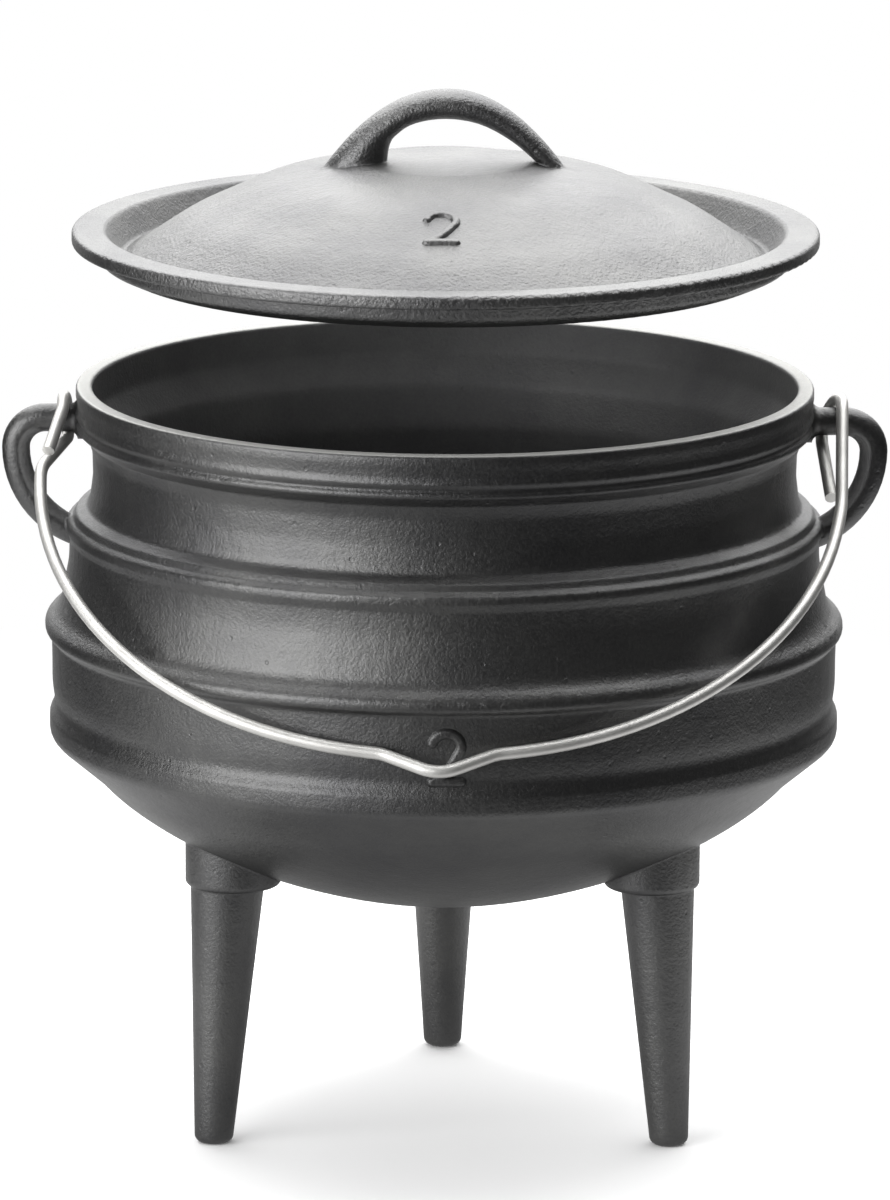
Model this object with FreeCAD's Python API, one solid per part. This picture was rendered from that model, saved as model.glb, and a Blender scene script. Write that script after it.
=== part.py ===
"""Three-legged cast iron pot with a loose lid and a steel wire bail.

Size mark 2, about six litres. The pot is one casting: bowl, four ribs, three legs
and two ears. The lid is one casting with its loop handle. The bail is one bent wire
whose ends hook over the ears.

Frame: millimetres, +Z up, origin on the ground under the middle of the pot.
The ears lie along X and the bail leans on the belly at the front, towards -Y.
"""
import FreeCAD, Part
import os
from math import asin, atan2, cos, hypot, pi, radians, sin, sqrt, tan

os.makedirs("parts", exist_ok=True)
V = FreeCAD.Vector

# Pot: radii, as the rim and steps from it
rim_radius = 118.5
wall = 5.2
lip_width = 5.4
neck_inset = 5.5
shoulder_step = 2.1
flare_step = 5.1
belly_step = 7.9
belly_foot_step = 6.8
bowl_step = 0.55

# Pot: heights, stacked upwards from the ground
under_bowl = 70.8
bowl_depth = 55.8
floor_thickness = 6.0
rib4_above_bowl = 5.6
rib3_above_rib4 = 30.6
rib2_above_rib3 = 32.2
rim_above_rib2 = 45.3
collar_height = 17.0
bowl_fullness = 1.59
bowl_lap = 11.5

# Ribs: how far each stands out of the wall beside it, and half its height
collar_bead_out = 0.35
collar_groove = 0.8
collar_bead_drop = 9.1
collar_bead_pitch = 3.9
rib2_out = 1.0
rib2_half = 2.6
rib3_out = 2.1
rib3_half = 3.4
rib4_out = 1.8
rib4_half = 3.0
edge_round = 1.2

# Ears: round bars bent into a D
ear_bar = 9.0
ear_drop = 11.5
ear_reach = 19.3
ear_top_bend = 9.6
ear_arm_bend = 29.5
ear_arm_turn = 70.0
ear_root = 2.4

# Legs and the round pads that they grow from
leg_count = 3
leg_foot_circle = 84.6
leg_root_circle = 77.4
leg_foot_width = 12.2
leg_root_width = 23.6
foot_round = 2.6
pad_width = 30.8
pad_height_above_bowl = 13.6
pad_round = 2.0

# Bail: steel wire
wire = 4.0
hook_gap = 0.32
rim_gap = 0.35
hook_leg_close = 1.6
right_pitch = 6.2
right_leg = 30.0
right_leg_splay = 2.4
left_pitch = 1.2
left_leg = 21.0
left_leg_splay = 4.2
right_turn = 9.0
left_turn = 1.5
bail_skew = 1.1
hook_crank = 40.0
bail_depth = 152.0
bail_overhang = 9.3
bail_shoulder_middle = 5.8
bail_crown_flatter = 24.0
notch_half = 18.0
notch_depth = 9.2
notch_round = 12.0
rest_gap = 0.3

# Lid
lid_overhang = 1.2
lid_gap = 1.1
lid_rim_thickness = 4.4
lid_rim_width = 10.8
lid_gutter = 8.7
lid_plate = 4.0
lid_rise = 22.0
lid_boss_radius = 28.5
lid_boss_step = 1.0
swing_gap = 0.6

# Lid handle: an arch that thins from its broad foot to its slim one
grip_middle = 1.0
grip_rise = 23.2
grip_left_reach = 38.5
grip_right_reach = 35.6
grip_left_fullness = 2.2
grip_inside_rise = 13.6
grip_left_inside = 19.8
grip_right_inside = 27.5
grip_inside_fullness = 2.4
grip_sink = 4.0
grip_width = 14.0
grip_broad_width = 17.5
grip_slim_width = 10.5

# Places worked out from the sizes
neck_radius = rim_radius - neck_inset
shoulder_radius = rim_radius + shoulder_step
flare_radius = rim_radius + flare_step
belly_radius = rim_radius + belly_step
belly_foot_radius = rim_radius + belly_foot_step
bowl_radius = rim_radius + bowl_step
mouth_radius = rim_radius - lip_width

bowl_top = under_bowl + bowl_depth
rib4_z = bowl_top + rib4_above_bowl
rib3_z = rib4_z + rib3_above_rib4
rib2_z = rib3_z + rib2_above_rib3
rim_z = rib2_z + rim_above_rib2
ear_z = rim_z - ear_drop
pad_z = under_bowl + pad_height_above_bowl


def unit(v):
    return v * (1.0 / v.Length)


def arc(start, through, end):
    return Part.Arc(start, through, end).toShape()


def rounded_run(corners):
    """Edges from the first point to the last, each corner (point, radius) rounded.

    The radius is held to what half of the shorter run beside the corner allows.
    """
    edges = []
    last = corners[0][0]
    for i in range(1, len(corners) - 1):
        corner, radius = corners[i]
        back = corners[i - 1][0] - corner
        ahead = corners[i + 1][0] - corner
        turn = pi - back.getAngle(ahead)
        if radius <= 0 or turn < 1e-4:
            edges.append(Part.makeLine(last, corner))
            last = corner
            continue
        reach = min(radius * tan(turn / 2), 0.499 * min(back.Length, ahead.Length))
        radius = reach / tan(turn / 2)
        start = corner + unit(back) * reach
        end = corner + unit(ahead) * reach
        middle = unit(unit(back) + unit(ahead))
        through = corner + middle * (radius / cos(turn / 2) - radius)
        if (start - last).Length > 1e-6:
            edges.append(Part.makeLine(last, start))
        edges.append(arc(start, through, end))
        last = end
    edges.append(Part.makeLine(last, corners[-1][0]))
    return edges


def section(points):
    """Corners of a profile in the XZ plane from (radius, height, rounding)."""
    return [(V(r, 0, z), rounding) for r, z, rounding in points]


def revolved(edges):
    """A closed profile of edges in the XZ plane, turned about Z."""
    face = Part.Face(Part.Wire(Part.__sortEdges__(edges)))
    return face.revolve(V(0, 0, 0), V(0, 0, 1), 360)


# Pot walls

def bowl_curve(radius, depth, top, lap):
    """The bowl's wall below the belly, from lap below its top down to the middle.

    It is a superellipse quarter.
    """
    steps = 14
    first = asin((lap / depth) ** (bowl_fullness / 2))
    points = []
    for i in range(steps + 1):
        a = first + (pi / 2 - first) * i / steps
        r = radius * cos(a) ** (2 / bowl_fullness) if i < steps else 0.0
        points.append(V(r, 0, top - depth * sin(a) ** (2 / bowl_fullness)))
    curve = Part.BSplineCurve()
    curve.interpolate(points)
    return curve.toShape(), points[0]


def bead(radius_above, radius_below, z, out, half):
    """Corners of one rib: a soft upper slope, a round crest and a tight underside."""
    crest = max(radius_above, radius_below) + out
    return [
        (radius_above, z + 1.7 * half, 4.0 * out),
        (crest, z + 0.45 * half, 1.6 * out),
        (crest, z - 0.45 * half, out),
        (radius_below, z - half, 0.8 * out),
    ]


def outer_profile():
    """Edges of the pot's outside from the rim's edge down to the bowl's lowest point."""
    collar = rim_radius - 0.3
    upper_bead_z = rim_z - collar_bead_drop
    lower_bead_z = upper_bead_z - collar_bead_pitch
    crest = collar + collar_bead_out
    groove_z = (upper_bead_z + lower_bead_z) / 2
    neck_top = rim_z - collar_height
    neck_middle = (neck_top + rib2_z) / 2
    rib2_crest = shoulder_radius + rib2_out
    bowl, bowl_start = bowl_curve(bowl_radius, bowl_depth, bowl_top, bowl_lap)
    points = [
        (rim_radius - lip_width / 2, rim_z, 0),
        (rim_radius, rim_z, edge_round),
        (rim_radius, rim_z - 3, 2.0),
        (collar, rim_z - 5, 2.0),
        (collar - 0.2, upper_bead_z + 2.0, 1.0),
        (crest + 0.2, upper_bead_z, 1.0),
        (collar - collar_groove, groove_z, 0.5),
        (crest + 0.2, lower_bead_z, 1.2),
        (neck_radius + 1.6, neck_top + 0.2, 2.0),
        (neck_radius + 0.2, neck_top - 4, 8.0),
        (neck_radius, neck_middle + 2, 20.0),
        (neck_radius + 0.9, rib2_z + 9, 8.0),
        (neck_radius + 1.7, rib2_z + 6.6, 2.0),
        (shoulder_radius - 2.2, rib2_z + 4.6, 1.0),
        (shoulder_radius - 1.1, rib2_z + 2.5, 0.6),
        (rib2_crest, rib2_z + 1.1, 1.0),
        (rib2_crest, rib2_z - 1.2, 1.2),
        (shoulder_radius, rib2_z - rib2_half - 1.4, 1.2),
        (shoulder_radius + 0.1, rib2_z - 11, 30.0),
    ]
    points += bead(flare_radius, belly_radius, rib3_z, rib3_out, rib3_half)
    points.append((belly_radius - 0.2, rib4_z + 11, 40.0))
    points += bead(belly_foot_radius, belly_foot_radius, rib4_z, rib4_out, rib4_half)[:3]
    points[-1] = (belly_foot_radius + rib4_out, rib4_z - 1.7 * rib4_half, 4.0)
    points.append((bowl_start.x, bowl_start.z, 0))
    return rounded_run(section(points)) + [bowl]


def cavity():
    """The room inside: the wall's inner face, smooth behind the ribs, and the mouth."""
    above = rim_z + 30
    floor = under_bowl + floor_thickness
    bowl, bowl_start = bowl_curve(bowl_radius - wall, bowl_top - floor, bowl_top, bowl_lap)
    points = [
        (0, above, 0),
        (mouth_radius, above, 0),
        (mouth_radius, rim_z - 11, 6.0),
        (neck_radius - wall, rim_z - collar_height - 4, 8.0),
        (neck_radius - wall, rib2_z + 10, 10.0),
        (shoulder_radius - wall, rib2_z - 4, 12.0),
        (flare_radius - wall, rib3_z + 8, 40.0),
        (belly_radius - wall, rib3_z - 6, 20.0),
        (belly_foot_radius - wall, rib4_z, 14.0),
        (bowl_start.x, bowl_start.z, 0),
    ]
    edges = rounded_run(section(points))
    edges += [bowl, Part.makeLine(V(0, 0, floor), V(0, 0, above))]
    return revolved(edges)


# Ears and legs

def ear_path():
    """Centre line of the right ear: straight bar, tight top bend, long lower arm."""
    out = rim_radius + ear_reach
    bend_x = out - ear_top_bend
    arm_x = out - ear_arm_bend
    low_z = ear_z - ear_top_bend
    start = V(rim_radius - wall + 1.0, 0, ear_z)
    bend_start = V(bend_x, 0, ear_z)
    bend_end = V(out, 0, low_z)
    half = radians(45)
    bend_middle = V(bend_x + ear_top_bend * cos(half), 0, low_z + ear_top_bend * sin(half))
    arm = []
    for share in (0.5, 1.0):
        a = radians(ear_arm_turn) * share
        arm.append(V(arm_x + ear_arm_bend * cos(a), 0, low_z - ear_arm_bend * sin(a)))
    return Part.Wire([
        Part.makeLine(start, bend_start),
        arc(bend_start, bend_middle, bend_end),
        arc(bend_end, arm[0], arm[1]),
    ])


def ear():
    """The right ear, a round bar along its path with a flared root at the collar."""
    path = ear_path()
    start = path.OrderedVertexes[0].Point
    ring = Part.Wire(Part.makeCircle(ear_bar / 2, start, V(1, 0, 0)))
    bar = path.makePipeShell([ring], True, False)
    r = ear_bar / 2
    inside_x = rim_radius - wall / 2
    wall_x = rim_radius - 0.6
    tip_x = rim_radius + ear_root
    flare = r + ear_root
    back = tip_x - wall_x
    curve = arc(V(wall_x, 0, flare), V(tip_x - 0.7071 * back, 0, r + 0.2929 * ear_root), V(tip_x, 0, r))
    sides = Part.makePolygon([V(tip_x, 0, r), V(tip_x, 0, 0), V(inside_x, 0, 0),
                              V(inside_x, 0, flare), V(wall_x, 0, flare)])
    face = Part.Face(Part.Wire([curve] + sides.Edges))
    root = face.revolve(V(0, 0, 0), V(1, 0, 0), 360)
    root.translate(V(0, 0, ear_z))
    return bar.fuse(root)


def leg():
    """One leg on its pad, at the front right before it is turned to its place."""
    foot = V(leg_foot_circle, 0, 0)
    root = V(leg_root_circle, 0, bowl_top - wall)
    axis = unit(root - foot)
    length = (root - foot).Length
    slope = (leg_root_width - leg_foot_width) / 2 / (length * (pad_z / root.z))
    below = 4.0
    cone = Part.makeCone(leg_foot_width / 2 - slope * below, leg_foot_width / 2 + slope * length,
                         length + below, foot - axis * below, axis)
    ground = Part.makeBox(200, 200, 20, V(0, -100, -20))
    cone = cone.cut(ground)
    sole = [e for e in cone.Edges if e.BoundBox.ZMax < 0.01]
    cone = cone.makeFillet(foot_round, sole)
    pad = Part.makeCylinder(pad_width / 2, bowl_top - wall - pad_z, V(leg_root_circle, 0, pad_z))
    brim = [e for e in pad.Edges if e.BoundBox.ZMax < pad_z + 0.01]
    pad = pad.makeFillet(pad_round, brim)
    return cone.fuse(pad)


def make_pot():
    profile = outer_profile()
    top = V(rim_radius - lip_width / 2, 0, rim_z)
    bottom = V(0, 0, under_bowl)
    axis_top = V(0, 0, rim_z)
    closing = [Part.makeLine(bottom, axis_top), Part.makeLine(axis_top, top)]
    body = revolved(profile + closing)
    extras = []
    right = ear()
    left = right.copy()
    left.rotate(V(0, 0, 0), V(0, 0, 1), 180)
    extras += [right, left]
    for i in range(leg_count):
        one = leg()
        one.rotate(V(0, 0, 0), V(0, 0, 1), 360.0 * i / leg_count - 30)
        extras.append(one)
    pot = body.fuse(extras).cut(cavity())
    lip = [e for e in pot.Edges if abs(e.BoundBox.ZMax - rim_z) < 0.01
           and abs(e.BoundBox.XMax - mouth_radius) < 0.01]
    return pot.makeFillet(edge_round, lip), profile


# Bail, made hanging straight down from the hinge line at the origin

def arch_half(turn, skew):
    """Edges of half of the bent wire, from its side to the notch, and its ends.

    The wire leaves its hook turn degrees below its widest place. The arch's middle lies
    skew beside the pot's.
    """
    shoulder = rim_radius + bail_overhang - bail_shoulder_middle
    crown = shoulder + bail_crown_flatter
    crown_z = crown - bail_depth
    shoulder_z = crown_z - sqrt(bail_crown_flatter ** 2 - bail_shoulder_middle ** 2)

    def on_shoulder(angle):
        return V(bail_shoulder_middle + shoulder * cos(angle), 0, shoulder_z - shoulder * sin(angle))

    def on_crown(x):
        return V(x, 0, crown_z - sqrt(crown ** 2 - x ** 2))

    start_angle = radians(turn)
    join_angle = atan2(crown_z - shoulder_z, bail_shoulder_middle)
    start = on_shoulder(start_angle)
    tangent = V(sin(start_angle), 0, cos(start_angle))
    middle_angle = (start_angle + join_angle) / 2
    edges = [arc(start, on_shoulder(middle_angle), on_shoulder(join_angle))]
    join_x = crown * cos(join_angle)
    notch_start = on_crown(notch_half + 4)
    edges.append(arc(on_shoulder(join_angle), on_crown((join_x + notch_half + 4) / 2), notch_start))
    slope = (notch_half + 4) / (crown_z - notch_start.z)
    brow = V(notch_half, 0, notch_start.z - 4 * slope)
    tip_corner = V(0, 0, brow.z - notch_depth)
    half_turn = atan2(notch_depth, notch_half)
    tip_start = tip_corner + unit(brow - tip_corner) * (notch_round * tan(half_turn))
    tip = V(0, 0, tip_corner.z + notch_round * (1 / cos(half_turn) - 1))
    edges += rounded_run([(notch_start, 0), (brow, 16), (tip_start, 0)])
    beside = V(skew, 0, 0)
    for edge in edges:
        edge.translate(beside)
    return edges, start + beside, tangent, tip_start + beside, tip + beside


def hook(main_x, free_x, leg_length, splay, arch_start, arch_tangent):
    """Edges of the right-hand hook, from the wire's cut end to the arch.

    The main leg passes in front of the ear's bar and the free leg behind it, and the
    loop between them is a half circle that leans along the bar.
    """
    side = ear_bar / 2 + hook_gap + wire / 2
    lean = (main_x - free_x) / 2
    end = V(free_x + splay, side - hook_leg_close, -leg_length)
    loop_start = V(free_x, side, 0)
    loop_top = V(free_x + lean, 0, hypot(side, lean))
    loop_end = V(main_x, -side, 0)
    edges = rounded_run([(end, 0), (V(free_x, side, -3), 18), (loop_start, 0)])
    edges.append(arc(loop_start, loop_top, loop_end))
    knee = arch_start + arch_tangent * 9.0
    return edges + rounded_run([(loop_end, 0), (V(main_x, -side, -2), 25), (knee, 50), (arch_start, 0)])


def bail_path():
    """Centre line of the whole wire.

    The main leg is in front of its ear at the right and behind it at the left. Both hooks
    come close to the collar. The arch between them lies a little to the left.
    """
    inner_x = rim_radius + collar_bead_out + rim_gap + wire / 2
    right_arch, start, tangent, near, tip = arch_half(right_turn, -bail_skew)
    right = hook(inner_x + right_pitch, inner_x, right_leg, right_leg_splay, start, tangent)
    left_arch, start, tangent, far, _ = arch_half(left_turn, bail_skew)
    left = hook(inner_x, inner_x + left_pitch, left_leg, left_leg_splay, start, tangent)
    left += left_arch
    for edge in left:
        edge.rotate(V(0, 0, 0), V(0, 0, 1), 180)
    far = V(-far.x, 0, far.z)
    return Part.Wire(Part.__sortEdges__(right + right_arch + [arc(near, tip, far)] + left))


def resting_lean(path, profile):
    """Degrees from straight down at which the wire lies against the belly."""
    outside = Part.Wire(profile)
    low_points = [p for p in path.discretize(160) if p.z < -hook_crank]

    def gap(lean):
        a = radians(lean)
        nearest = 1e9
        for p in low_points:
            y = p.y * cos(a) + p.z * sin(a)
            z = ear_z - p.y * sin(a) + p.z * cos(a)
            spot = Part.Vertex(V(hypot(p.x, y), 0, z))
            nearest = min(nearest, outside.distToShape(spot)[0])
        return nearest - wire / 2

    low, high = 50.0, 80.0
    while high - low > 0.01:
        middle = (low + high) / 2
        if gap(middle) < rest_gap:
            low = middle
        else:
            high = middle
    return high


def make_bail(profile):
    path = bail_path()
    end = path.OrderedVertexes[0].Point
    along = path.OrderedVertexes[1].Point - end
    ring = Part.Wire(Part.makeCircle(wire / 2, end, along))
    bail = path.makePipeShell([ring], True, False)
    lean = resting_lean(path, profile)
    bail.rotate(V(0, 0, 0), V(1, 0, 0), -lean)
    bail.translate(V(0, 0, ear_z))
    return bail, path, lean


# Lid, made with its seat at height zero

def lid_body():
    outside = rim_radius + lid_overhang
    register = mouth_radius - lid_gap
    top = lid_rim_thickness
    inner = outside - lid_rim_width
    gutter = top - lid_gutter
    crest = top + lid_rise
    boss = lid_boss_radius
    foot = inner - 6.4
    reach = foot - boss
    upper = [
        (0, crest, 0),
        (boss, crest, 6.0),
        (boss + 4, crest - lid_boss_step, 10.0),
        (foot - 0.62 * reach, crest - 0.14 * (crest - gutter) - lid_boss_step, 60.0),
        (foot - 0.26 * reach, gutter + 0.42 * (crest - gutter), 60.0),
        (foot, gutter, 3.0),
        (foot + 1.5, gutter, 1.5),
        (inner, top, 2.0),
        (outside, top, 1.4),
        (outside, 0, 0.9),
        (register, 0, 0.6),
        (register - 1.2, gutter - lid_plate + 3.0, 3.0),
        (foot + 1.5, gutter - lid_plate, 2.5),
        (foot - 2.5, gutter - lid_plate, 4.0),
        (foot - 0.26 * reach, gutter + 0.42 * (crest - gutter) - lid_plate * 1.1, 60.0),
        (foot - 0.62 * reach, crest - 0.14 * (crest - gutter) - lid_boss_step - lid_plate, 60.0),
        (boss, crest - lid_plate - lid_boss_step, 8.0),
        (0, crest - lid_plate - lid_boss_step, 0),
    ]
    edges = rounded_run(section(upper))
    edges.append(Part.makeLine(V(0, 0, crest - lid_plate - lid_boss_step), V(0, 0, crest)))
    return revolved(edges)


def oval(centre, side, half_side, depth, half_depth):
    """A closed oval about a centre, with the same start and turn for any proportions."""
    normal = side.cross(depth)
    stretch = FreeCAD.Matrix(
        side.x * half_side, depth.x * half_depth, normal.x, centre.x,
        side.y * half_side, depth.y * half_depth, normal.y, centre.y,
        side.z * half_side, depth.z * half_depth, normal.z, centre.z, 0, 0, 0, 1)
    return Part.Wire(Part.makeCircle(1).transformGeometry(stretch).Edges)


def blend(low, high, value):
    """0 below low, 1 above high and a smooth change between them."""
    t = min(max((value - low) / (high - low), 0.0), 1.0)
    return t * t * (3 - 2 * t)


def grip():
    """The handle: oval sections between an outer and an inner line.

    The outer line is a parabola. The inner line is one too on the right, and stands
    nearly upright beside the broad left foot.
    """
    crest = lid_rim_thickness + lid_rise

    def outer(u):
        if u > 0:
            return V(grip_middle - grip_left_reach * u, 0, crest + grip_rise * (1 - u ** grip_left_fullness))
        return V(grip_middle - grip_right_reach * u, 0, crest + grip_rise * (1 - u ** 2))

    def inner(u):
        if u > 0:
            rise = (1 - u ** grip_inside_fullness) ** (1 / grip_inside_fullness)
            return V(grip_middle - grip_left_inside * u, 0, crest + grip_inside_rise * rise)
        return V(grip_middle - grip_right_inside * u, 0, crest + grip_inside_rise * (1 - u ** 2))

    def below(point, u, reach, rise):
        out = grip_sink * reach / (2 * rise)
        return point + V(-out if u > 0 else out, 0, -grip_sink)

    steps = 12
    stations = [(cos(pi * i / steps), i / steps) for i in range(steps + 1)]
    pairs = [(outer(u), inner(u), share) for u, share in stations]
    first, last = pairs[0], pairs[-1]
    pairs.insert(0, (below(first[0], 1, grip_left_reach, grip_rise), first[1] - V(0, 0, grip_sink), 0.0))
    pairs.append((below(last[0], -1, grip_right_reach, grip_rise),
                  below(last[1], -1, grip_right_inside, grip_inside_rise), 1.0))
    sections = []
    for high, low, share in pairs:
        width = grip_width + (grip_broad_width - grip_width) * (1 - blend(0.0, 0.4, share))
        width += (grip_slim_width - grip_width) * blend(0.5, 1.0, share)
        side = high - low
        sections.append(oval((high + low) * 0.5, unit(side), side.Length / 2, V(0, 1, 0), width / 2))
    return Part.makeLoft(sections, True, False)


def make_lid():
    return lid_body().fuse(grip())


def swing_room(path):
    """Highest place of the lid's upper edge above the ears' bars that the bail swings past."""
    radius = rim_radius + lid_overhang
    clear = wire / 2 + swing_gap
    points = [(abs(p.x), hypot(p.y, p.z)) for p in path.discretize(240)]

    def fits(height):
        for i in range(121):
            x = radius * i / 120
            edge = sqrt(height ** 2 + radius ** 2 - x ** 2)
            if min(hypot(px - x, pd - edge) for px, pd in points) < clear:
                return False
        return True

    height = right_leg + wire + lid_gutter + lid_plate
    while fits(height + 0.5):
        height += 0.5
    return height


pot, profile = make_pot()
bail, path, lean = make_bail(profile)
lid = make_lid()
lid_top = swing_room(path)
lid_lift = ear_z + lid_top - lid_rim_thickness - rim_z
lid.translate(V(0, 0, rim_z + lid_lift))

for name, shape in (("pot", pot), ("lid", lid), ("bail_handle", bail)):
    shape.exportStep("parts/" + name + ".step")
    box = shape.BoundBox
    print(name, shape.isValid(), len(shape.Solids), round(shape.Volume / 1000, 1), "cm3",
          [round(v, 1) for v in (box.XMin, box.YMin, box.ZMin, box.XMax, box.YMax, box.ZMax)])
print("bail lean", round(lean, 2), "swing", round(360 - 2 * lean, 2), "lid lift", round(lid_lift, 1))
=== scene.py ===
# %% [markdown]
# # A three-legged cast iron pot
# The pot is sand-cast grey iron, blackened and satin, on three splayed legs. Its lid is a
# second casting, held in the air above the rim, and its bail is a bright steel wire that
# leans on the belly. The three main pieces arrive as exact solids with the frame. What is
# left to do here is what those solids don't carry: the raised size figures, the skin of
# the metals, the light and the camera.

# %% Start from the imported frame
from math import cos, hypot, pi, radians, sin

import bmesh
import bpy
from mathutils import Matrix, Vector
from mathutils.bvhtree import BVHTree


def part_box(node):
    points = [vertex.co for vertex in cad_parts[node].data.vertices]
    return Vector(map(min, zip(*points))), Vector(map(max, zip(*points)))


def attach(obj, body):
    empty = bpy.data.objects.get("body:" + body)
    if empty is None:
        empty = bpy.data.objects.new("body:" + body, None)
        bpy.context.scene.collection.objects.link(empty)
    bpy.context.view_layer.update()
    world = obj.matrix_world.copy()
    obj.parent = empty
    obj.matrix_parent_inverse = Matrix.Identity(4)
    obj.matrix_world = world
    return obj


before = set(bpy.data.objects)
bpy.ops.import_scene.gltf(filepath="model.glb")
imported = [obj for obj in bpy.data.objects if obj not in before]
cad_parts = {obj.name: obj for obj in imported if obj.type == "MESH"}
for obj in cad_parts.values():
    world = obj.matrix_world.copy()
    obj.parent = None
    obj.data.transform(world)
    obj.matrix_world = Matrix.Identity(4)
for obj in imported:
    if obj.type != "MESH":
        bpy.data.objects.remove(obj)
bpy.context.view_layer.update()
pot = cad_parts["pot"]
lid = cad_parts["lid"]
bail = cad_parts["bail_handle"]
print("castings and wire:", [o.name for o in (pot, lid, bail)])

# %% [markdown]
# ## Millimetres
# The pot was measured in millimetres and the scene counts in metres. One named factor
# keeps every size below readable as a maker would say it.

# %% Millimetres to metres
mm = 0.001
pot_low, pot_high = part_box("pot")
lid_low, lid_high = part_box("lid")
print("pot is", round((pot_high[2] - pot_low[2]) / mm, 1), "mm high")
print("lid hangs", round((lid_low[2] - pot_low[2]) / mm, 1), "mm above the floor")

# %% [markdown]
# ## Smooth castings
# The solids arrive as fine triangles. Flat shading would show each facet in the satin
# skin, so faces are shaded smooth, and only edges sharper than a casting's rounded
# corners stay crisp, such as the cut ends of the wire. The solids' faces meet at doubled
# points, which are welded first so that shading runs on across them. On the small roundings
# each face counts by its angle at the point. On level flats the large faces count for more,
# which keeps the lid's flange and the pot's lip flat right up to their rounded edges.

# %% Find the level flats
weld_gap = 0.002 * mm
smallest_flat = 0.5 * mm * mm
level_slope = 0.9999


def level_points(piece):
    """Points, doubled ones too, that lie on the piece's level flats."""
    mesh = piece.data
    place = [tuple(round(c / weld_gap) for c in v.co) for v in mesh.vertices]
    level = set()
    for face in mesh.polygons:
        if abs(face.normal.z) > level_slope and face.area > smallest_flat:
            level.update(place[i] for i in face.vertices)
    return [i for i, p in enumerate(place) if p in level]


# %% Shade a piece smooth
def shade_smooth(piece, crease_degrees):
    """Smooth shading with hard edges only where the surface really breaks."""
    for face in piece.data.polygons:
        face.use_smooth = True
    flats = piece.vertex_groups.new(name="flats")
    flats.add(level_points(piece), 1.0, "ADD")
    seams = piece.modifiers.new("seams", "WELD")
    seams.merge_threshold = weld_gap
    crease = piece.modifiers.new("crease", "EDGE_SPLIT")
    crease.split_angle = radians(crease_degrees)
    for name, mode, rest in (("even_roundings", "CORNER_ANGLE", True),
                             ("even_flats", "FACE_AREA_WITH_ANGLE", False)):
        even = piece.modifiers.new(name, "WEIGHTED_NORMAL")
        even.mode = mode
        even.keep_sharp = True
        even.vertex_group = "flats"
        even.invert_vertex_group = rest
    print(piece.name, len(piece.data.polygons), "faces")


# %% [markdown]
# ## Colours
# Colours are written as the hex values that a picture editor shows. Shaders work in
# linear light, so one function turns the one into the other.

# %% Hex colours
def linear(hex_colour):
    """sRGB hex to a linear RGBA colour."""
    channels = []
    for i in (1, 3, 5):
        c = int(hex_colour[i:i + 2], 16) / 255
        channels.append(c / 12.92 if c <= 0.04045 else ((c + 0.055) / 1.055) ** 2.4)
    return (*channels, 1.0)


# %% [markdown]
# ## Nodes
# A material is a small tree of nodes, and one function adds any of them. A setting that
# the node has as a property is set there. Every other setting, and every link, goes to the
# input of that name or number. Steps with a smooth start and end come back often, so that
# one setting has a name.

# %% Add a node
smooth = {"interpolation_type": "SMOOTHSTEP"}


def add(tree, kind, settings=None, links=None):
    """Adds a node, sets its properties or inputs, and links its inputs."""
    node = tree.nodes.new(kind)
    for key, value in (settings or {}).items():
        if isinstance(key, str) and hasattr(node, key):
            setattr(node, key, value)
        else:
            node.inputs[key].default_value = value
    for key, socket in (links or {}).items():
        tree.links.new(socket, node.inputs[key])
    return node


# %% [markdown]
# ## The print of the sand
# Molten iron takes the print of the sand that it is poured into. Grains leave a fine, even
# tooth, the rammed sand leaves soft lumps some millimetres across, and gas leaves a few pin
# holes. Fettling and use then round every edge by about a millimetre. The tooth is too fine
# to model, so it is bump, and each depth and spacing is set from the real size of what made
# it. The grains are about half a millimetre. They are drawn at one millimetre, because
# finer ones would not show in a picture of the whole pot.

# %% Sand tooth
grain_depth = 0.2 * mm
lump_depth = 0.25 * mm
hole_depth = 0.2 * mm
hole_spacing = 7 * mm
hole_bottom, hole_brim = 0.05, 0.11
worn_edge = 1.2 * mm


def sand_tooth(tree, point, grain, lumps, tooth):
    """The normal of a sand-cast skin; tooth scales how deep its lumps and grain go."""
    worn = add(tree, "ShaderNodeBevel", {"samples": 6, "Radius": worn_edge})
    pits = add(tree, "ShaderNodeTexVoronoi", {"Scale": 1 / hole_spacing, "Randomness": 1.0},
               {"Vector": point})
    holes = add(tree, "ShaderNodeMapRange", {"From Min": hole_bottom, "From Max": hole_brim},
                {"Value": pits.outputs["Distance"]})
    normal = worn.outputs["Normal"]
    for height, strength, depth in ((holes.outputs["Result"], 0.5, hole_depth),
                                    (lumps, 0.8, lump_depth * tooth),
                                    (grain, 1.0, grain_depth * tooth)):
        bump = add(tree, "ShaderNodeBump", {"Strength": strength, "Distance": depth},
                   {"Height": height, "Normal": normal})
        normal = bump.outputs["Normal"]
    return normal


# %% [markdown]
# ## The core's side
# The mould's outer halves shape a pot's outside, and a core shapes its hollow. The skin is
# rougher there and holds more of the baked oil, so it mirrors less. That side could be
# painted by hand, but its shape tells it: it looks towards the pot's axis. The legs' inner
# sides do so too. They come from the outer mould, so only the part above them counts.

# %% Core side
looks_in, looks_out = -40 * mm, -5 * mm
legs_end, core_full = 90 * mm, 110 * mm


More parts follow.
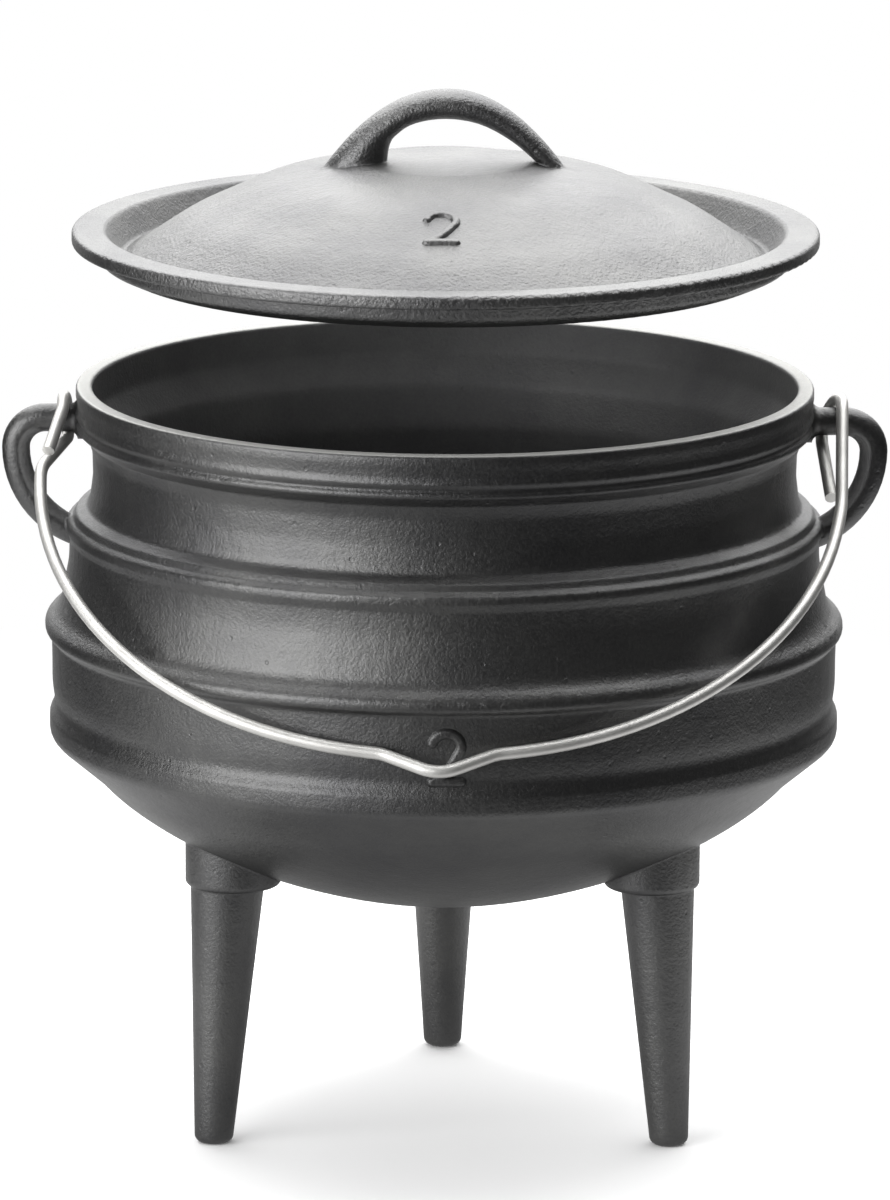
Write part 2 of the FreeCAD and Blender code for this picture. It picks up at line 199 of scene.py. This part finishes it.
def core_side(tree, point, height, normal):
    """1 on faces above the legs that look towards the pot's axis, and 0 elsewhere."""
    level = add(tree, "ShaderNodeVectorMath", {"operation": "MULTIPLY", 1: (1, 1, 0)}, {0: point})
    outward = add(tree, "ShaderNodeVectorMath", {"operation": "DOT_PRODUCT"},
                  {0: level.outputs["Vector"], 1: normal})
    inward = add(tree, "ShaderNodeMapRange",
                 {**smooth, "From Min": looks_in, "From Max": looks_out, "To Min": 1.0, "To Max": 0.0},
                 {"Value": outward.outputs["Value"]})
    above = add(tree, "ShaderNodeMapRange", {**smooth, "From Min": legs_end, "From Max": core_full},
                {"Value": height})
    both = add(tree, "ShaderNodeMath", {"operation": "MULTIPLY"},
               {0: inward.outputs["Result"], 1: above.outputs["Result"]})
    return both.outputs["Value"]


# %% [markdown]
# ## The worn and painted lip
# The lid grinds on the pot's lip and rubs it down to dull, barer iron. Its pale colour is partly
# that wear and partly a painted reflection of the white room, which the lid keeps the lip from
# mirroring. The lip is the level ring at the height of the lid's seat, so its height and its
# slope pick it out.

# %% Rubbed lip
dark_below_seat, pale_below_seat = 1.2 * mm, 0.4 * mm
sloping, nearly_level = 0.6, 0.95


def lip_wear_and_sheen_mask(tree, height, normal, seat):
    """1 on faces that look up at the height of the lid's seat, and 0 elsewhere."""
    upward = add(tree, "ShaderNodeSeparateXYZ", None, {"Vector": normal})
    at_seat = add(tree, "ShaderNodeMapRange",
                  {**smooth, "From Min": seat - dark_below_seat, "From Max": seat - pale_below_seat},
                  {"Value": height})
    level = add(tree, "ShaderNodeMapRange", {**smooth, "From Min": sloping, "From Max": nearly_level},
                {"Value": upward.outputs["Z"]})
    both = add(tree, "ShaderNodeMath", {"operation": "MULTIPLY"},
               {0: at_seat.outputs["Result"], 1: level.outputs["Result"]})
    return both.outputs["Value"]


# %% [markdown]
# ## Sand-cast iron
# Baked oil turns grey iron black and satin. Iron is a metal, so the shader is metallic,
# with a dark colour because the oil film and the oxide under it swallow most of the light.
# Stains some centimetres across, and a little of the grain, move the colour between the
# film's tone and the barer iron's. The grain moves the roughness too. On the core's side and
# on the lip the skin is rougher and less of a mirror.

# %% Tone of the oiled iron
stain_size = 45 * mm
grain_share = 0.35
all_film, all_bare = 0.36, 0.66


def oiled_tone(tree, point, grain, film, bare):
    """A colour between the oil film's tone and the barer iron's."""
    stain = add(tree, "ShaderNodeTexNoise", {"Scale": 1 / stain_size, "Detail": 4.0, "Roughness": 0.6},
                {"Vector": point})
    mottle = add(tree, "ShaderNodeMix", {"data_type": "FLOAT", 0: grain_share},
                 {2: stain.outputs["Fac"], 3: grain})
    tone = add(tree, "ShaderNodeValToRGB", None, {"Fac": mottle.outputs[0]})
    for stop, position, colour in zip(tone.color_ramp.elements, (all_film, all_bare), (film, bare)):
        stop.position = position
        stop.color = linear(colour)
    return tone.outputs["Color"]


# %% Cast iron
# The lip's pale colour is partly worn iron and partly a painted reflection of the white room.
lip_wear_and_sheen_colour = "#b6b6b3"
dull_metallic = 0.45
dull_roughness = 0.14
smoother, rougher = 0.05, 0.06
# A noise keeps mostly between these two levels.
noise_low, noise_high = 0.3, 0.7


def cast_iron(name, film, bare, grain_size, lump_size, roughness, tooth, seat):
    """Blackened sand-cast iron: film and bare are its darkest and palest tones."""
    material = bpy.data.materials.new(name)
    material.use_nodes = True
    tree = material.node_tree
    shader = tree.nodes["Principled BSDF"]
    point = add(tree, "ShaderNodeTexCoord").outputs["Object"]
    height = add(tree, "ShaderNodeSeparateXYZ", None, {"Vector": point}).outputs["Z"]
    normal = add(tree, "ShaderNodeNewGeometry").outputs["Normal"]
    grain = add(tree, "ShaderNodeTexNoise", {"Scale": 1 / grain_size, "Detail": 3.0, "Roughness": 0.6},
                {"Vector": point}).outputs["Fac"]
    lumps = add(tree, "ShaderNodeTexNoise", {"Scale": 1 / lump_size, "Detail": 2.0},
                {"Vector": point}).outputs["Fac"]
    lip_wear_and_sheen = lip_wear_and_sheen_mask(tree, height, normal, seat)
    dull = add(tree, "ShaderNodeMath", {"operation": "MAXIMUM"},
               {0: core_side(tree, point, height, normal), 1: lip_wear_and_sheen}).outputs["Value"]
    # The lip is painted pale, partly for its wear and partly as a painted reflection.
    colour = add(tree, "ShaderNodeMix", {"data_type": "RGBA", 7: linear(lip_wear_and_sheen_colour)},
                 {0: lip_wear_and_sheen, 6: oiled_tone(tree, point, grain, film, bare)})
    metallic = add(tree, "ShaderNodeMapRange", {**smooth, "To Min": 1.0, "To Max": dull_metallic},
                   {"Value": dull})
    satin = add(tree, "ShaderNodeMapRange",
                {"From Min": noise_low, "From Max": noise_high, "To Min": roughness - smoother,
                 "To Max": roughness + rougher}, {"Value": grain})
    rough = add(tree, "ShaderNodeMath", {"operation": "MULTIPLY_ADD", 1: dull_roughness},
                {0: dull, 2: satin.outputs["Result"]})
    tree.links.new(colour.outputs[2], shader.inputs["Base Color"])
    tree.links.new(metallic.outputs["Result"], shader.inputs["Metallic"])
    tree.links.new(rough.outputs["Value"], shader.inputs["Roughness"])
    tree.links.new(sand_tooth(tree, point, grain, lumps, tooth), shader.inputs["Normal"])
    print("material", name)
    return material


# %% [markdown]
# The pot and the lid are poured from the same iron. The lid's tones are painted a little
# paler, a painted sheen for the light that its upward faces catch from above, and its sand
# left a deeper tooth. Nothing is seated on top of the lid, so its seat is given a height
# that no part of it reaches.

# %% Iron of the pot and of the lid
no_seat = 1000 * mm
pot_iron = cast_iron("blackened_sand_cast_iron", film="#606061", bare="#747473", grain_size=1.0 * mm,
                     lump_size=5.0 * mm, roughness=0.43, tooth=0.9, seat=pot_high[2])
# The lid's paler film and bare tones are painted sheen.
lid_iron = cast_iron("blackened_lid_iron", film="#717172", bare="#878786", grain_size=1.0 * mm,
                     lump_size=4.0 * mm, roughness=0.44, tooth=1.5, seat=no_seat)

# %% [markdown]
# ## Drawn steel wire
# The bail is hard-drawn steel with a bright plating. A die pulls fine lines along such
# wire and the plating keeps it pale. At this size the lines only blur the reflection, so
# they are a satin roughness with a faint noise in it.

# %% Bright steel
line_size = 0.8 * mm
patch_size = 9 * mm
satin_low, satin_high = 0.5, 0.58


def bright_wire(name, dull_tone, bright_tone):
    """Plated drawn wire, pale and satin."""
    material = bpy.data.materials.new(name)
    material.use_nodes = True
    tree = material.node_tree
    shader = tree.nodes["Principled BSDF"]
    shader.inputs["Metallic"].default_value = 1.0
    point = add(tree, "ShaderNodeTexCoord").outputs["Object"]
    lines = add(tree, "ShaderNodeTexNoise", {"Scale": 1 / line_size, "Detail": 2.0}, {"Vector": point})
    patches = add(tree, "ShaderNodeTexNoise", {"Scale": 1 / patch_size, "Detail": 3.0}, {"Vector": point})
    tone = add(tree, "ShaderNodeValToRGB", None, {"Fac": patches.outputs["Fac"]})
    stops = zip(tone.color_ramp.elements, (noise_low, noise_high), (dull_tone, bright_tone))
    for stop, position, colour in stops:
        stop.position = position
        stop.color = linear(colour)
    blur = add(tree, "ShaderNodeMapRange",
               {"From Min": noise_low, "From Max": noise_high, "To Min": satin_low, "To Max": satin_high},
               {"Value": lines.outputs["Fac"]})
    tree.links.new(tone.outputs["Color"], shader.inputs["Base Color"])
    tree.links.new(blur.outputs["Result"], shader.inputs["Roughness"])
    print("material", name)
    return material


wire_steel = bright_wire("plated_drawn_steel_wire", "#e4e3e0", "#f6f5f2")

# %% [markdown]
# ## Dress the three pieces
# Each piece is of one metal, so it gets one material. Only edges that turn by more than
# 50 degrees stay crisp, and the castings' rounded corners turn more softly than that.

# %% Finish the castings and the wire
sharp_edge = 50


def finish_piece(piece, material, crease_degrees):
    """One material and smooth shading on a piece."""
    piece.data.materials.clear()
    piece.data.materials.append(material)
    shade_smooth(piece, crease_degrees)


finish_piece(pot, pot_iron, sharp_edge)
finish_piece(lid, lid_iron, sharp_edge)
finish_piece(bail, wire_steel, sharp_edge)

# %% [markdown]
# ## The size figure
# Pots of this shape carry their size as a plain raised figure on the belly and again on
# the lid. A loose figure is pressed into the mould, so in iron it stands proud with
# sloping sides and a soft foot. A text object would give hard upright walls. Here the
# figure is a bead that follows its centre line: every point near the line is lifted by
# its distance from it, and the foot sinks just below the casting's skin.

# %% The centre line of the figure
bow_wide, bow_high, bow_middle = 4.6, 4.2, 3.9
bow_start, bow_turn = 165, 205
corner = (-4.5, -7.5)
foot_length = 9.2
neck_bend = 0.9
neck_lean = 0.6
bow_steps, neck_steps, foot_steps = 24, 20, 12


def figure_line():
    """Points of a figure two, in millimetres from its middle."""
    points = []
    for i in range(bow_steps + 1):
        a = radians(bow_start - bow_turn * i / bow_steps)
        points.append((bow_wide * cos(a), bow_middle + bow_high * sin(a)))
    start = points[-1]
    for i in range(1, neck_steps + 1):
        t = i / neck_steps
        bend = neck_bend * sin(pi * t)
        points.append((start[0] + (corner[0] - start[0]) * t + bend * neck_lean,
                       start[1] + (corner[1] - start[1]) * t - bend))
    for i in range(1, foot_steps + 1):
        points.append((corner[0] + foot_length * i / foot_steps, corner[1]))
    return points


figure = figure_line()
print("figure line has", len(figure), "points")


# %% Distance from the centre line
def distance_to_line(x, y, line):
    """Shortest distance from a point to a chain of straight runs."""
    nearest = 1e9
    for (ax, ay), (bx, by) in zip(line, line[1:]):
        dx, dy = bx - ax, by - ay
        t = max(0.0, min(1.0, ((x - ax) * dx + (y - ay) * dy) / (dx * dx + dy * dy)))
        nearest = min(nearest, hypot(x - ax - dx * t, y - ay - dy * t))
    return nearest


# %% [markdown]
# ## Lifting the figure off the casting
# A grid of small cells is laid over the figure and cast onto the real surface, so the
# figure follows the belly's curve and the lid's cone. The cells get a top, a floor below
# the skin and side walls, which makes one closed bead.

# %% Cast the grid onto a casting
pitch = 0.22
grid_wide, grid_high = 17, 23
figure_height = 1.1
foot_spread = 0.5
foot_sink = 0.25
flat_top = 0.45


def cast_grid(casting, place_on, half_width):
    """Hit, normal and lift for each grid point near the figure's line."""
    surface = BVHTree.FromObject(casting, bpy.context.evaluated_depsgraph_get())
    foot = half_width + foot_spread
    count_x, count_y = int(grid_wide / pitch), int(grid_high / pitch)
    grid = {}
    for i in range(count_x + 1):
        for j in range(count_y + 1):
            x, y = (i - count_x / 2) * pitch, (j - count_y / 2) * pitch
            away = distance_to_line(x, y, figure)
            if away > foot + pitch:
                continue
            start, direction = place_on(x, y)
            hit, normal, _, _ = surface.ray_cast(start, direction)
            slope = max(0.0, min(1.0, (foot - away) / (foot - flat_top * half_width)))
            lift = (figure_height + foot_sink) * slope * slope * (3 - 2 * slope) - foot_sink
            grid[i, j] = (hit, normal, lift)
    return grid


# %% Close the bead
bead_depth = 0.6


def closed_bead(name, grid):
    """A mesh with a lifted top, a floor under the skin and walls between them."""
    mesh = bmesh.new()
    top = {key: mesh.verts.new(hit + normal * lift * mm) for key, (hit, normal, lift) in grid.items()}
    low = {key: mesh.verts.new(hit - normal * bead_depth * mm) for key, (hit, normal, _) in grid.items()}
    outline = {}
    for i, j in grid:
        ring = [(i, j), (i + 1, j), (i + 1, j + 1), (i, j + 1)]
        if not all(key in grid for key in ring):
            continue
        mesh.faces.new([top[key] for key in ring])
        mesh.faces.new([low[key] for key in reversed(ring)])
        for a, b in zip(ring, ring[1:] + ring[:1]):
            if (b, a) in outline:
                del outline[b, a]
            else:
                outline[a, b] = True
    for a, b in outline:
        mesh.faces.new([top[b], top[a], low[a], low[b]])
    loose = [v for v in mesh.verts if not v.link_faces]
    bmesh.ops.delete(mesh, geom=loose, context="VERTS")
    bmesh.ops.recalc_face_normals(mesh, faces=mesh.faces)
    data = bpy.data.meshes.new(name)
    mesh.to_mesh(data)
    mesh.free()
    return data


# %% Raised figure
figure_crease = 60


def raised_figure(name, casting, place_on, material, half_width):
    """The figure's bead on a casting; place_on gives a ray's start and direction."""
    data = closed_bead(name, cast_grid(casting, place_on, half_width))
    piece = bpy.data.objects.new(name, data)
    bpy.context.scene.collection.objects.link(piece)
    finish_piece(piece, material, figure_crease)
    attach(piece, "pot")
    return piece


# %% [markdown]
# The belly's figure stands on the front, just right of the middle. The belly is round
# there, so a step sideways on the figure is a small turn about the pot's axis.

# %% The figure on the belly
belly_figure_x = 1.2
belly_figure_z = 145.9
belly_radius = 126.2
ray_reach = 200


def on_belly(x, y):
    """From outside towards the pot's axis, at a place on the belly's front."""
    turn = (x + belly_figure_x) / belly_radius
    out = Vector((sin(turn), -cos(turn), 0))
    return out * ray_reach * mm + Vector((0, 0, (belly_figure_z + y) * mm)), -out


belly_figure = raised_figure("belly_figure", pot, on_belly, pot_iron, half_width=1.6)
print("belly figure", len(belly_figure.data.polygons), "faces")

# %% [markdown]
# The lid's figure lies on the cone in front of the handle, with its foot towards the rim.
# The cone slopes by about 27 degrees, so the figure is laid out along the slope.

# %% The figure on the lid
lid_figure_x = -1.3
lid_figure_radius = 67.0
cone_slope = radians(27)
above_lid = 50 * mm


def on_lid(x, y):
    """From above, at a place on the lid's front cone."""
    along = lid_figure_radius - y * cos(cone_slope)
    start = Vector(((x + lid_figure_x) * mm, -along * mm, lid_high[2] + above_lid))
    return start, Vector((0, 0, -1))


lid_figure = raised_figure("lid_figure", lid, on_lid, lid_iron, half_width=1.3)
print("lid figure", len(lid_figure.data.polygons), "faces")

# %% [markdown]
# ## What the iron mirrors
# A dark satin metal shows its room more than its own colour. Behind the pot the room is
# white, which edges the pot's sides. In front and to the right it is dark, which keeps the
# front of the iron black. Far out on the floor at the front left lies one more white patch, a
# painted pool of the left lamp's light.
# A studio does this with white sheets and dark curtains. Lamps alone would light the floor
# as well, so here reflections see white and dark parts of their own.

# %% White parts of the room
back_from, back_full = 0.75, 0.99
patch_from, patch_full = 0.76, 0.94
patch_side = (-0.77, -0.64, 0)


def bright_side(tree, direction, patch):
    """1 towards the back of the room, patch towards its front left, and 0 elsewhere."""
    along = add(tree, "ShaderNodeSeparateXYZ", None, {"Vector": direction})
    aside = add(tree, "ShaderNodeVectorMath", {"operation": "DOT_PRODUCT", 1: patch_side}, {0: direction})
    back = add(tree, "ShaderNodeMapRange", {**smooth, "From Min": back_from, "From Max": back_full},
               {"Value": along.outputs["Y"]})
    front_left = add(tree, "ShaderNodeMapRange",
                     {**smooth, "From Min": patch_from, "From Max": patch_full, "To Max": patch},
                     {"Value": aside.outputs["Value"]})
    either = add(tree, "ShaderNodeMath", {"operation": "MAXIMUM"},
                 {0: front_left.outputs["Result"], 1: back.outputs["Result"]})
    return either.outputs["Value"]


# %% [markdown]
# ## The floor in the iron
# Seen in the bowl, the floor is a painted reflection. Near the pot it is pale at the sides and
# behind. It is darker in front and under the pot, a painted shadow of the pot, which keeps the
# light off it. Further out it takes on the room's white and dark parts. Distances are from the
# middle of the pot.

# %% The floor near the pot
front_dark, front_pale = -400 * mm, -50 * mm
front_level = 0.18
pot_shade, shade_end = 50 * mm, 220 * mm
shade_level = 0.35


def near_floor(tree, point, reach):
    """How bright the iron sees the floor near the pot."""
    along = add(tree, "ShaderNodeSeparateXYZ", None, {"Vector": point})
    front = add(tree, "ShaderNodeMapRange",
                {**smooth, "From Min": front_dark, "From Max": front_pale, "To Min": front_level},
                {"Value": along.outputs["Y"]})
    under = add(tree, "ShaderNodeMapRange",
                {**smooth, "From Min": pot_shade, "From Max": shade_end, "To Min": shade_level},
                {"Value": reach})
    both = add(tree, "ShaderNodeMath", {"operation": "MULTIPLY"},
               {0: front.outputs["Result"], 1: under.outputs["Result"]})
    return both.outputs["Value"]


# %% The whole floor
near_end, far_start = 300 * mm, 650 * mm
floor_dark = 0.07
floor_patch = 0.9


def mirrored_floor(tree, point, reach):
    """How bright the iron sees the floor, near the pot and far out."""
    turned = add(tree, "ShaderNodeVectorMath", {"operation": "NORMALIZE"}, {0: point})
    room = bright_side(tree, turned.outputs["Vector"], floor_patch)
    far = add(tree, "ShaderNodeMapRange", {**smooth, "To Min": floor_dark}, {"Value": room})
    away = add(tree, "ShaderNodeMapRange", {**smooth, "From Min": near_end, "From Max": far_start},
               {"Value": reach})
    level = add(tree, "ShaderNodeMix", {"data_type": "FLOAT"},
                {0: away.outputs["Result"], 2: near_floor(tree, point, reach), 3: far.outputs["Result"]})
    return level.outputs[0]


# %% [markdown]
# ## Floor
# A plain pale sheet carries the soft shadows under the feet. Away from the pot it turns
# into clean white, so that no far edge shows.

# %% Pale floor
sheet_size = 40
sheet_colour = "#f2f2f2"
sheet_roughness = 0.9
sheet_end, white_start = 250 * mm, 750 * mm
white = (1, 1, 1, 1)


def pale_floor():
    """A wide sheet: matt near the pot, plain white further off."""
    bpy.ops.mesh.primitive_plane_add(size=sheet_size)
    floor = bpy.context.object
    floor.name = "floor"
    material = bpy.data.materials.new("matt_white_sheet")
    material.use_nodes = True
    tree = material.node_tree
    matt = tree.nodes["Principled BSDF"]
    matt.inputs["Base Color"].default_value = linear(sheet_colour)
    matt.inputs["Roughness"].default_value = sheet_roughness
    point = add(tree, "ShaderNodeTexCoord").outputs["Object"]
    reach = add(tree, "ShaderNodeVectorMath", {"operation": "LENGTH"}, {0: point}).outputs["Value"]
    path = add(tree, "ShaderNodeLightPath")
    far = add(tree, "ShaderNodeMapRange", {**smooth, "From Min": sheet_end, "From Max": white_start},
              {"Value": reach})
    far_seen = add(tree, "ShaderNodeMath", {"operation": "MULTIPLY"},
                   {0: far.outputs["Result"], 1: path.outputs["Is Camera Ray"]})
    plain = add(tree, "ShaderNodeEmission", {"Color": white, "Strength": 1.0})
    glow = add(tree, "ShaderNodeEmission", {"Color": white},
               {"Strength": mirrored_floor(tree, point, reach)})
    skin = matt.outputs["BSDF"]
    for share, other in ((far_seen.outputs["Value"], plain), (path.outputs["Is Glossy Ray"], glow)):
        mix = add(tree, "ShaderNodeMixShader", None, {0: share, 1: skin, 2: other.outputs["Emission"]})
        skin = mix.outputs["Shader"]
    tree.links.new(skin, tree.nodes["Material Output"].inputs["Surface"])
    floor.data.materials.append(material)
    return floor


floor = pale_floor()
print("floor", floor.name, sheet_size, "m wide")

# %% [markdown]
# ## Room
# The camera sees a white room. Reflections see its dark front and its white back. Diffuse
# light comes evenly from all around, which keeps the shadows on the floor soft.

# %% Surround
def surround(front, back, around):
    """White for the camera, front to back for reflections, around for diffuse light."""
    world = bpy.data.worlds.new("studio")
    bpy.context.scene.world = world
    world.use_nodes = True
    tree = world.node_tree
    dark = tree.nodes["Background"]
    dark.inputs["Color"].default_value = white
    dark.inputs["Strength"].default_value = front
    bright, fill, seen = [add(tree, "ShaderNodeBackground", {"Color": white, "Strength": strength})
                          for strength in (back, around, 1.0)]
    direction = add(tree, "ShaderNodeTexCoord").outputs["Generated"]
    path = add(tree, "ShaderNodeLightPath")
    shade = dark.outputs["Background"]
    for share, other in ((bright_side(tree, direction, 0.0), bright),
                         (path.outputs["Is Diffuse Ray"], fill),
                         (path.outputs["Is Camera Ray"], seen)):
        mix = add(tree, "ShaderNodeMixShader", None,
                  {0: share, 1: shade, 2: other.outputs["Background"]})
        shade = mix.outputs["Shader"]
    tree.links.new(shade, tree.nodes["World Output"].inputs["Surface"])
    return world


room = surround(front=0.08, back=1.0, around=1.0)
print("room", room.name)

# %% [markdown]
# ## Soft lamps
# A large soft lamp stands to the left in front, low enough to reach in under the lid, and
# gives the belly its one broad highlight. A larger one hangs high behind the pot, for the
# rim, the lid and the upper side of the ribs.

# %% Lamps
aim = Vector((0, 0, 170 * mm))


def soft_lamp(name, azimuth, elevation, distance, width, height, watts):
    """A rectangular lamp that faces the middle of the pot; azimuth 0 is in front."""
    lamp = bpy.data.lights.new(name, "AREA")
    lamp.shape = "RECTANGLE"
    lamp.size = width
    lamp.size_y = height
    lamp.energy = watts
    holder = bpy.data.objects.new(name, lamp)
    a, e = radians(azimuth), radians(elevation)
    holder.location = aim + distance * Vector((sin(a) * cos(e), -cos(a) * cos(e), sin(e)))
    holder.rotation_euler = (aim - holder.location).to_track_quat("-Z", "Y").to_euler()
    bpy.context.scene.collection.objects.link(holder)
    print("lamp", name, watts, "W")
    return holder


soft_lamp("left_softbox", azimuth=-50, elevation=16, distance=1.9, width=1.7, height=1.3, watts=27)
soft_lamp("overhead_softbox", azimuth=180, elevation=59, distance=1.8, width=2.8, height=3.2, watts=90)

# %% [markdown]
# ## Camera
# The picture was taken from 3.4 m away with a long lens, about 12 degrees above the
# level. The photograph is 1200 pixels high and 36 mm stands for that height.

# %% Camera
photo_height_pixels = 1200
focal_pixels = 10687.7
sensor_height = 36
camera_place = (6.37 * mm, -3368.1 * mm, 893.9 * mm)
camera_pitch, camera_yaw, camera_roll = 0.21187, 0.0018, 0.00467


def product_camera():
    """A long lens in front of the pot, a little above it."""
    camera = bpy.data.cameras.new("camera")
    camera.sensor_fit = "VERTICAL"
    camera.sensor_height = sensor_height
    camera.lens = focal_pixels / photo_height_pixels * sensor_height
    camera.clip_end = 100
    holder = bpy.data.objects.new("camera", camera)
    holder.location = camera_place
    holder.rotation_mode = "XYZ"
    holder.rotation_euler = (pi / 2 - camera_pitch, 0, camera_yaw)
    holder.rotation_euler.rotate_axis("Z", camera_roll)
    bpy.context.scene.collection.objects.link(holder)
    bpy.context.scene.camera = holder
    return holder


camera = product_camera()
bpy.context.scene.view_settings.view_transform = "Standard"
print("lens", round(camera.data.lens, 1), "mm")
